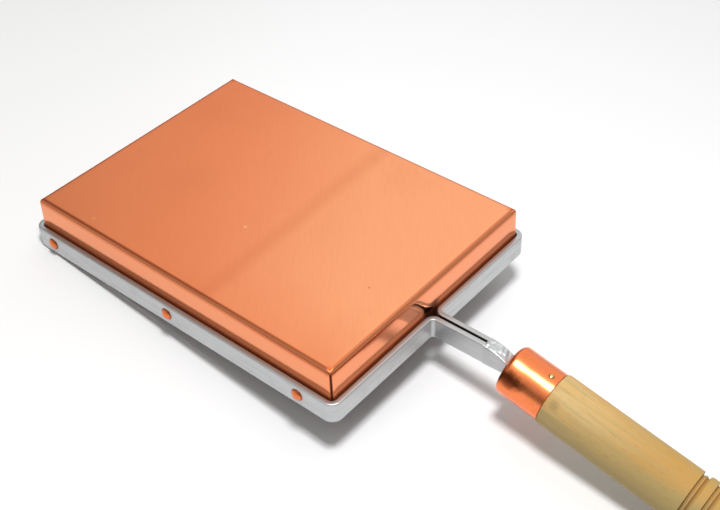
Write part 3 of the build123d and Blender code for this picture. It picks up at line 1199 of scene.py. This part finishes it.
@dataclass(frozen=True)
class BandFrame:
    """The bar bent round the rim, its two ends turned out side by side."""

    layout: Layout
    step: float = 0.003
    turn_points: int = 13
    edge_points: int = 7
    edge_soft: float = 0.00065
    strip_lean: float = 0.0002
    sharp_angle: float = 50.0

    def path(self) -> tuple[np.ndarray, np.ndarray]:
        """The bar's middle line: straight runs joined by arcs, with its left-hand normals.

        Returns:
            Points and unit normals, two columns each.
        """
        layout, bar = self.layout, self.layout.bar
        x = layout.band_outer_x - bar.thickness / 2
        y = layout.band_outer_y - bar.thickness / 2
        strip = (bar.slot + bar.thickness) / 2
        half = [(layout.strip_end, strip), (x, strip), (x, y), (-x, y)]
        corners = np.array([(along, -across) for along, across in half] + half[::-1])
        outer, neck = bar.corner_radius, bar.strip_bend_radius
        radii = [0.0, neck, outer, outer, outer, outer, neck, 0.0]
        points, normals = [], []
        here = corners[0]
        for number in range(1, len(corners)):
            corner, radius = corners[number], radii[number]
            ahead = corner - corners[number - 1]
            ahead = ahead / np.linalg.norm(ahead)
            left = np.array([-ahead[1], ahead[0]])
            run = stretch(here, corner - ahead * radius, self.step)
            points.append(run)
            normals.append(np.repeat(left[None], len(run), axis=0))
            if radius > 0.0:
                after = corners[number + 1] - corner
                side = np.sign(ahead[0] * after[1] - ahead[1] * after[0])
                centre = corner - ahead * radius + side * left * radius
                turn = np.linspace(0.0, np.pi / 2, self.turn_points)[1:-1, None]
                out = -side * left * np.cos(turn) + ahead * np.sin(turn)
                points.append(centre + radius * out)
                normals.append(-side * out)
                here = centre + radius * ahead
        return np.concatenate(points), np.concatenate(normals)

    def section(self) -> np.ndarray:
        """The bar's section: a rectangle with round edges, offsets across and heights."""
        bar, edge = self.layout.bar, self.edge_soft
        wide, high = bar.thickness / 2 - edge, bar.height - edge
        centres = ((wide, high), (-wide, high), (-wide, edge), (wide, edge))
        arcs = [
            arc(centre, edge, 90.0 * number, 90.0 * (number + 1), self.edge_points)
            for number, centre in enumerate(centres)
        ]
        return np.concatenate([*arcs, arcs[0][:1]])

    def build(self) -> bpy.types.Object:
        """Carry the section along the path, lean the strips together, and close both ends."""
        path, normal = self.path()
        section = self.section()
        flat = path[:, None] + normal[:, None] * section[None, :, :1]
        beyond = (flat[..., 0] - self.layout.band_outer_x) / self.layout.bar.strip_length
        flat[..., 1] -= np.sign(flat[..., 1]) * np.clip(beyond, 0.0, 1.0) * self.strip_lean
        height = np.repeat(section[None, :, 1:], len(path), axis=0)
        grid = self.layout.pan_tilt().place(np.concatenate([flat, height], axis=-1))
        uv = np.stack(np.meshgrid(travelled(path), travelled(section), indexing="ij"), axis=-1)
        return Skin("band_frame_skin").add(grid, uv).close_ends().build(self.sharp_angle)


@dataclass(frozen=True)
class Weld:
    """The lumpy, ground top of the tang, in shares of one small height."""

    height: float = 0.00022
    broad: Waves = Waves(seed=11, length=0.0035, width=0.0035)
    broad_share: float = 0.55
    small: Waves = Waves(seed=15, length=0.0019, width=0.0013)
    small_share: float = 0.132
    bead_share: float = 1.4
    bead_place: Pair = (0.0011, -0.0007)
    bead_size: Pair = (0.0007, 0.0013)
    crease_share: float = 0.9
    crease_place: float = 0.0026
    crease_slant: float = 0.25
    crease_width: float = 0.0004
    facet_share: float = 0.8
    facet_place: float = 0.0068
    facet_slant: float = 0.8
    facet_width: float = 0.0022
    facet_power: float = 1.5

    def heights(self, along: np.ndarray, across: np.ndarray) -> np.ndarray:
        """Heights over the smooth top.

        Two sets of waves, a bead that is a bell in both directions, less a slanting crease
        that is a bell across its line, and a slanting facet that falls off on both sides.

        Args:
            along: Distances from the strips' ends.
            across: Distances from the middle.

        Returns:
            The heights, in the shape of the two together.
        """
        place, size = self.bead_place, self.bead_size
        bead = np.exp(-(((along - place[0]) / size[0]) ** 2) - ((across - place[1]) / size[1]) ** 2)
        beside = along - self.crease_place - across * self.crease_slant
        crease = np.exp(-((beside / self.crease_width) ** 2))
        slant = along - self.facet_place - across * self.facet_slant
        facet = np.clip(1.0 - np.abs(slant) / self.facet_width, 0.0, 1.0) ** self.facet_power
        return self.height * (
            self.broad.at(along, across) * self.broad_share
            + self.small.at(along, across) * self.small_share
            + bead * self.bead_share
            - crease * self.crease_share
            + facet * self.facet_share
        )


@dataclass(frozen=True)
class Tang:
    """The solid piece welded to the strips, ground down to the ferrule, then a spike."""

    layout: Layout
    weld: Weld = Weld()
    edge_round: float = 0.0006
    edge_points: int = 5
    across_points: int = 25
    neck_points: int = 49
    spike_points: int = 12
    front_fade: float = 0.0006
    rear_fade: float = 0.001
    side_fade_share: float = 0.55
    sharp_angle: float = 50.0

    def stations(self) -> tuple[np.ndarray, ...]:
        """Sections along the pan: place, top, bottom and half width.

        The top is an arc that starts level with the strips and falls to the ferrule. Behind
        it, top, bottom and width go straight to the spike's tip.
        """
        layout, bar = self.layout, self.layout.bar
        start, front = layout.strip_end, layout.ferrule_front
        run, fall = front - start, bar.height - layout.neck_top
        radius = (run**2 + fall**2) / (2 * fall)
        along = np.linspace(0.0, run, self.neck_points)
        top = bar.height - radius + np.sqrt(radius**2 - along**2)
        drop = np.radians(layout.grip.drop)
        reach = layout.tang_length * np.array([np.cos(drop), -np.sin(drop)])
        tip_x, tip_z = np.array([front, layout.grip.axis_height]) + reach
        share = np.linspace(0.0, 1.0, self.spike_points + 1)[1:]
        half, tip_half = layout.tang_width / 2, layout.tang_tip / 2

        def tapered(neck: np.ndarray, end: float) -> np.ndarray:
            """Carry a row of neck values straight on to its value at the spike's tip."""
            return np.concatenate([neck, neck[-1] + share * (end - neck[-1])])

        return (
            tapered(start + along, tip_x),
            tapered(top, tip_z + tip_half),
            tapered(layout.neck_bottom * along / run, tip_z - tip_half),
            tapered(np.full(self.neck_points, half), tip_half),
        )

    def build(self) -> bpy.types.Object:
        """Carry a round-edged section along the stations, its top lumpy from the weld.

        The lumps fade in over a short run at the neck's start, fade out just behind its
        end, inside the ferrule, and are lower towards its sides.
        """
        x, top, bottom, half = self.stations()
        edge = self.edge_round
        turn = np.radians(np.linspace(0.0, 90.0, self.edge_points))
        flat_shares = np.linspace(1.0, -1.0, self.across_points)[1:-1]
        inner = half[:, None] - edge
        corner_y = inner + edge * np.cos(turn)
        corner_z = edge * np.sin(turn) - edge
        y = np.concatenate([corner_y, inner * flat_shares, -corner_y[:, ::-1]], axis=1)
        rounding = np.concatenate([corner_z, np.zeros(len(flat_shares)), corner_z[::-1]])
        start, front = self.layout.strip_end, self.layout.ferrule_front
        fade = np.clip((x - start) / self.front_fade, 0.0, 1.0)
        fade = fade * np.clip((front + self.rear_fade - x) / self.rear_fade, 0.0, 1.0)
        lower = np.clip(1.0 - self.side_fade_share * (y / half[:, None]) ** 2, 0.0, 1.0)
        lumps = self.weld.heights(x[:, None] - start, y) * fade[:, None] * lower
        upper_z = top[:, None] + rounding + lumps
        lower_z = bottom[:, None] - rounding
        across = np.concatenate([y, y[:, ::-1], y[:, :1]], axis=1)
        height = np.concatenate([upper_z, lower_z, upper_z[:, :1]], axis=1)
        along = np.broadcast_to(x[:, None], across.shape)
        grid = self.layout.pan_tilt().place(np.stack([along, across, height], axis=-1))
        uv = np.stack([along, across + height], axis=-1)
        return Skin("tang_skin").add(grid, uv).close_ends().build(self.sharp_angle)


@dataclass(frozen=True)
class Ferrule:
    """The drawn copper cup, open behind, with a slot for the tang in its front."""

    layout: Layout
    turns: int = 144
    front_points: int = 13
    rim_round: float = 0.00015
    outer_step: float = 0.001
    inner_step: float = 0.004
    uneven: float = 0.00005
    swells: Waves = Waves(seed=3, length=0.012, width=1 / 1.1)
    sharp_angle: float = 40.0

    def slot_radius(self, angle: np.ndarray) -> np.ndarray:
        """Distance from the axis to the slot's edge: the nearest of its four sides.

        Args:
            angle: Angles round the axis, from the side towards the top.

        Returns:
            The distance for each angle.
        """
        layout, clear = self.layout, self.layout.cup.tang_clearance
        half = layout.tang_width / 2 + clear
        over = layout.neck_top + clear - layout.grip.axis_height
        under = layout.grip.axis_height - layout.neck_bottom + clear
        across = half / np.maximum(np.abs(np.cos(angle)), TINY)
        sine = np.sin(angle)
        upright = np.where(sine > 0.0, over, under) / np.maximum(np.abs(sine), TINY)
        return np.minimum(across, upright)

    def profile(self) -> np.ndarray:
        """Distance along the axis and radius: front bend, outside, rim and inside."""
        cup, small = self.layout.cup, self.rim_round
        bend, radius, inner = cup.front_round, cup.radius, cup.radius - cup.sheet
        return np.concatenate(
            [
                arc((bend, radius - bend), bend, 180.0, 90.0, self.front_points),
                stretch((bend, radius), (cup.length - small, radius), self.outer_step)[1:],
                [(cup.length, radius - small), (cup.length, inner)],
                stretch((cup.length, inner), (bend + cup.sheet, inner), self.inner_step)[1:],
                [(cup.sheet, inner - bend)],
            ]
        )

    def build(self) -> bpy.types.Object:
        """Turn the cup's profile, its first and last rings drawn in to the slot's edge."""
        cup = self.layout.cup
        grid = lathe(self.profile(), self.turns)
        angle = np.linspace(0.0, 2 * np.pi, self.turns + 1)
        swell = 1 + self.swells.at(grid[..., 0], np.sin(angle)[None]) * self.uneven / cup.radius
        grid[..., 1:] *= swell[..., None]
        slot = self.slot_radius(angle)
        edge = np.stack([np.zeros_like(angle), slot * np.cos(angle), slot * np.sin(angle)], -1)
        back = edge + np.array([cup.sheet, 0.0, 0.0])
        shell = np.concatenate([edge[None], grid, back[None], edge[None]])
        placed = self.layout.handle_tilt().place(shell)
        return Skin("ferrule_skin").add(placed).build(self.sharp_angle)


@dataclass(frozen=True)
class Handle:
    """The turned wooden handle with its spigot, rings and rounded end."""

    layout: Layout
    turns: int = 128
    clearance: float = 0.0001
    butt_gap: float = 0.00001
    groove_round: float = 0.00012
    grip_step: float = 0.004
    edge_points: int = 9
    ring_points: int = 7
    swell_points: int = 24
    butt_points: int = 15
    end_points: int = 5
    sharp_angle: float = 35.0

    def groove(self, front: float) -> list[np.ndarray]:
        """One groove: a wall down, a round bead in its middle, and a wall up to a round edge.

        Args:
            front: Where the groove begins along the axis.

        Returns:
            Runs of points of distance along the axis and radius.
        """
        grip, small = self.layout.grip, self.groove_round
        low = grip.radius - grip.groove_depth
        rear, half = front + grip.groove_width, grip.bead_width / 2
        ball = (half**2 + grip.bead_height**2) / (2 * grip.bead_height)
        spread = np.degrees(np.arcsin(min(1.0, half / ball)))
        bead = (front + grip.groove_width / 2, low + grip.bead_height - ball)
        edge = (rear + grip.ring_round, grip.radius - grip.ring_round)
        return [
            np.array([(front, grip.radius - small), (front, low + small), (front + small, low)]),
            arc(bead, ball, 90.0 + spread, 90.0 - spread, self.edge_points),
            np.array([(rear - small, low), (rear, low + small)]),
            arc(edge, grip.ring_round, 180.0, 90.0, self.ring_points),
        ]

    def profile(self) -> np.ndarray:
        """Distance along the axis and radius, from the spigot's front to the round end.

        The grip behind the rings swells by the smooth step 3 s squared - 2 s cubed.
        """
        layout, grip, cup = self.layout, self.layout.grip, self.layout.cup
        front = cup.sheet + cup.tang_clearance
        spigot = cup.radius - cup.sheet - self.clearance
        start, radius = cup.length + self.clearance, grip.radius
        edge = (start + grip.edge_round, radius - grip.edge_round)
        parts = [
            np.array([(front, 0.0), (front, spigot - cup.front_round)]),
            np.array([(front + cup.front_round, spigot), (start, spigot)]),
            arc(edge, grip.edge_round, 180.0, 90.0, self.edge_points),
        ]
        here = edge[0]
        for number in range(grip.ring_count + 1):
            groove = layout.rings_start + number * grip.ring_pitch
            before = (groove - self.groove_round, radius)
            parts += [stretch((here, radius), before, self.grip_step)[1:], *self.groove(groove)]
            here = groove + grip.groove_width + grip.ring_round
        flat_end = layout.handle_length - self.butt_gap
        end, last = flat_end - grip.butt_round, grip.butt_radius - grip.butt_round
        share = np.linspace(0.0, 1.0, self.swell_points + 1)[1:]
        ease = share * share * (3 - 2 * share)
        swell = radius + ease * (grip.butt_radius - radius)
        parts.append(np.stack([here + share * (end - here), swell], -1))
        parts.append(arc((end, last), grip.butt_round, 90.0, 0.0, self.butt_points)[1:])
        parts.append(np.linspace((flat_end, last), (flat_end, 0.0), self.end_points + 1)[1:])
        return np.concatenate(parts)

    def build(self) -> bpy.types.Object:
        """Turn the profile."""
        grid = self.layout.handle_tilt().place(lathe(self.profile(), self.turns))
        return Skin("handle_skin").add(grid).build(self.sharp_angle)


@dataclass(frozen=True)
class SmallParts:
    """The rivets and the ferrule's pin: turned shapes on axes of their own."""

    layout: Layout
    turns: int = 48
    dome_points: int = 12
    sharp_angle: float = 40.0

    def cap(self, place: float, radius: float, height: float, direction: float) -> np.ndarray:
        """A dome's profile from its rim to its top: an arc through both, level at the top.

        Args:
            place: Where the rim lies along the axis.
            radius: The rim's radius.
            height: How far the top stands from the rim.
            direction: 1 where the top is further along the axis, and -1 where it is nearer.

        Returns:
            Distances along the axis and radii.
        """
        ball = (radius**2 + height**2) / (2 * height)
        turn = np.linspace(np.arcsin(radius / ball), 0.0, self.dome_points)
        along = place + direction * (height - ball + ball * np.cos(turn))
        return np.stack([along, ball * np.sin(turn)], -1)

    def rivet(self, name: str, place: float, side: Side) -> bpy.types.Object:
        """Make one rivet across a long side.

        Args:
            name: The object's name.
            place: Where it sits along the pan.
            side: The long side that it holds.

        Returns:
            The rivet.
        """
        sizes, sheet = self.layout.rivets, self.layout.sheet
        outer = self.layout.band_outer_y
        inner = sheet.width / 2 - sheet.thickness - sheet.lean_in * (sizes.height + sizes.tail_radius)
        tail = self.cap(inner, sizes.tail_radius, sizes.tail_height, -1.0)[::-1]
        shank = np.array([(inner, sizes.shank_radius), (outer, sizes.shank_radius)])
        head = self.cap(outer, sizes.head_radius, sizes.head_height, 1.0)
        turned = lathe(np.concatenate([tail, shank, head]), self.turns)
        out, first, second = np.moveaxis(turned, -1, 0)
        local = np.stack([place + first, side.value * out, sizes.height + second], -1)
        points = self.layout.pan_tilt().place(local)
        return Skin(name).add(points).build(self.sharp_angle)

    def pin(self) -> bpy.types.Object:
        """Make the pin, its head on the ferrule and its point in the wood."""
        cup = self.layout.cup
        seat, thin = cup.radius, cup.pin_shank_radius
        tip = seat - cup.pin_depth
        shank = np.array([(tip, 0.0), (tip + 2 * thin, thin), (seat, thin)])
        head = self.cap(seat, cup.pin_head_radius, cup.pin_head_height, 1.0)
        out, first, second = np.moveaxis(lathe(np.concatenate([shank, head]), self.turns), -1, 0)
        points = self.layout.handle_tilt().place(np.stack([cup.pin_place + first, second, out], -1))
        return Skin("ferrule_pin_skin").add(points).build(self.sharp_angle)


@dataclass(frozen=True)
class Glow:
    """A soft round patch of light or shade on the room's walls."""

    middle: Triple
    mask: Mask

    def of(self, toward: Sequence[Value]) -> Value:
        """Give the mask of the cosine between a direction and the patch's middle."""
        x, y, z = (part * share for part, share in zip(toward, self.middle))
        return self.mask.of(x + y + z)


@dataclass(frozen=True)
class Lamp:
    """One soft lamp over the table, sizes in metres and power in watts."""

    name: str = "overhead"
    place: Triple = (0.06, -0.14, 0.90)
    aim: Triple = ORIGIN
    size: float = 0.175
    power: float = 7.4

    def build(self) -> None:
        """Hang the lamp and turn it to the point that it faces."""
        light = bpy.data.lights.new(self.name, "AREA")
        light.shape = "RECTANGLE"
        light.size = light.size_y = self.size
        light.energy = self.power
        lamp = bpy.data.objects.new(self.name, light)
        lamp.location = self.place
        look = Vector(self.aim) - Vector(self.place)
        lamp.rotation_euler = look.to_track_quat("-Z", "Y").to_euler()
        bpy.context.scene.collection.objects.link(lamp)


@dataclass(frozen=True)
class Camera:
    """The camera, at the place, turn and focal length that the photograph's lines give."""

    focal_pixels: float = 1208.2
    picture_width: float = 720.0
    sensor: float = 36.0
    place: Triple = (0.16931, -0.29943, 0.41387)
    azimuth: float = 36.568
    elevation: float = 45.273
    roll: float = 4.519
    clip: Pair = (0.01, 50.0)

    def build(self) -> None:
        """Set the camera: its back points along azimuth and elevation, its top is rolled."""
        around, above, twist = np.radians([self.azimuth, self.elevation, self.roll])
        back = Vector(
            (np.sin(around) * np.cos(above), -np.cos(around) * np.cos(above), np.sin(above))
        )
        right = Vector((0.0, 0.0, 1.0)).cross(back).normalized()
        top = back.cross(right)
        turned_right = right * np.cos(twist) + top * np.sin(twist)
        turned_top = top * np.cos(twist) - right * np.sin(twist)
        pose = Matrix((turned_right, turned_top, back)).transposed().to_4x4()
        pose.translation = Vector(self.place)
        lens = bpy.data.cameras.new("camera")
        lens.sensor_width = self.sensor
        lens.lens = self.focal_pixels / self.picture_width * self.sensor
        lens.clip_start, lens.clip_end = self.clip
        camera = bpy.data.objects.new("camera", lens)
        camera.matrix_world = pose
        bpy.context.scene.collection.objects.link(camera)
        bpy.context.scene.camera = camera


@dataclass(frozen=True)
class Studio:
    """The white table and the room's soft light."""

    floor_size: float = 24.0
    floor_colour: Colour = (0.765, 0.765, 0.77)
    # painted shade: the table's colour on its darker left
    floor_left_shade: Colour = (0.72, 0.72, 0.715)
    floor_toward: Pair = (0.85, 0.5)
    floor_shade_side: Mask = Mask(falls=(-0.24, -0.06))
    floor_rough: float = 0.7
    floor_gloss: float = 0.2
    light_colour: Colour = (1.0, 1.0, 0.99)
    room: float = 0.12
    window: Glow = Glow((-0.300, 0.708, 0.639), Mask(rises=(0.70, 0.98), share=1.22))
    pale_patch: Glow = Glow((-0.166, -0.621, 0.766), Mask(rises=(0.88, 0.98), share=0.56))
    dark_patch: Glow = Glow((-0.172, -0.973, 0.156), Mask(rises=(0.91, 0.98), share=0.36))
    wall_toward: Triple = (0.72, 0.695, 0.0)
    near_wall: Mask = Mask(rises=(0.10, 0.80))
    far_wall: Mask = Mask(rises=(0.45, 0.90), share=0.8)
    wall_height: Mask = Mask(falls=(0.45, 0.70), share=0.46)
    ceiling: Mask = Mask(rises=(0.66, 0.88), share=0.42)

    def floor(self) -> None:
        """Lay the table's top: one wide flat sheet with painted shade on its left."""
        half = self.floor_size / 2
        ends = np.array([-half, half])
        grid = np.stack([*np.meshgrid(ends, ends, indexing="ij"), np.zeros((2, 2))], axis=-1)
        piece = Skin("table_top").add(grid).build()
        if piece.data.polygons[0].normal.z < 0:
            piece.data.flip_normals()
        paint = Paint("white_table")
        x, y, _ = paint.parts(paint.coordinates())
        # painted shade darkening the table's left
        left = self.floor_shade_side.of(x * self.floor_toward[0] + y * self.floor_toward[1])
        colour = paint.blend(left, self.floor_colour, self.floor_left_shade)
        sockets = {"Roughness": self.floor_rough, "Specular IOR Level": self.floor_gloss}
        piece.data.materials.append(paint.finish({"Base Color": colour, **sockets}))

    def world(self) -> None:
        """Light the room: dim walls, a brighter ceiling and a wide window at the far left.

        A pale patch stands high at the near left, with a dark one below it. Each share is a
        smooth step on the cosine between a direction and a middle, or on a height.
        """
        world = bpy.data.worlds.new("studio")
        bpy.context.scene.world = world
        world.use_nodes = True
        paint = Paint("studio", world.node_tree)
        toward = paint.parts(paint.node("ShaderNodeTexCoord", {}, {}, "Generated"))
        height = toward[2]
        along = toward[0] * self.wall_toward[0] + toward[1] * self.wall_toward[1]
        sides = self.near_wall.of(along) + self.far_wall.of(along * -1.0)
        light = self.room + sides * self.wall_height.of(height) + self.ceiling.of(height)
        light = light + self.window.of(toward) + self.pale_patch.of(toward)
        light = light * (1.0 - self.dark_patch.of(toward))
        tint = paint.blend(light, BLACK, self.light_colour)
        glow = paint.node("ShaderNodeBackground", {}, {"Color": tint, "Strength": 1.0})
        paint.node("ShaderNodeOutputWorld", {}, {"Surface": glow})

    def build(self) -> None:
        """Set up camera, table, room, lamp and a plain colour transform."""
        Camera().build()
        self.floor()
        self.world()
        Lamp().build()
        view = bpy.context.scene.view_settings
        view.view_transform, view.look, view.exposure = "Standard", "None", 0.0


def main() -> None:
    """Build the pan's pieces in order, dress them, and set up the studio."""
    logging.basicConfig(level=logging.INFO, format="%(name)s %(message)s")
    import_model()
    layout = Layout()
    pan, handle = layout.pan_tilt(), layout.handle_tilt()
    LOG.info("lean %.3f degrees", layout.lean())
    # painted dark reflection near the ferrule's front, in the handle's frame
    ferrule_reflection_place = np.array([0.0035, -0.0100, 0.0055])
    drawn = Polish(
        "copper_drawn",
        colour=(0.90, 0.245, 0.088),
        rough=0.27,
        stain_place=tuple(handle.place(ferrule_reflection_place).tolist()),
    )
    outer, seat = layout.band_outer_y, layout.cup.radius
    riveted = Polish(
        "copper_rivet",
        colour=(0.86, 0.23, 0.08),
        rough=0.42,
        # dark rim of painted shade round each rivet's dome
        head=Dome(pan, Axis.ACROSS, rim=outer + 0.0001, middle=outer + 0.0009),
    )
    brass = Polish(
        "brass_pin",
        colour=(0.74, 0.50, 0.17),
        dark=(0.30, 0.22, 0.08),
        # the pin head's dark rim: painted shade
        stain=(0.13, 0.08, 0.015),
        rough=0.34,
        head=Dome(handle, Axis.UP, rim=seat, middle=seat + 0.0004),
    )
    bar = Aluminium("aluminium_bar")
    welded = Aluminium("aluminium_welded", rough=0.50, ground=True)
    sheet = CopperSheet(pan, layout.sheet)
    dress(PanBody(layout).build(), sheet.material(), Slot.COPPER, "pan_body")
    dress(BandFrame(layout).build(), bar.material(), Slot.ALUMINIUM, "band_frame")
    dress(Tang(layout).build(), welded.material(), Slot.ALUMINIUM, "tang")
    dress(Ferrule(layout).build(), drawn.material(), Slot.FERRULE, "ferrule")
    dress(Handle(layout).build(), Wood(layout).material(), Slot.WOOD, "handle")
    small = SmallParts(layout)
    dress(small.pin(), brass.material(), Slot.BRASS, "ferrule_pin")
    rivet_copper = riveted.material()
    for side in Side:
        for number, place in enumerate(layout.rivet_places(), start=1):
            node = f"rivet_{side.name.lower()}_{number}"
            dress(small.rivet(f"{node}_skin", place, side), rivet_copper, Slot.COPPER, node)
    Studio().build()
    bpy.context.view_layer.update()


if __name__ == "__main__":
    main()
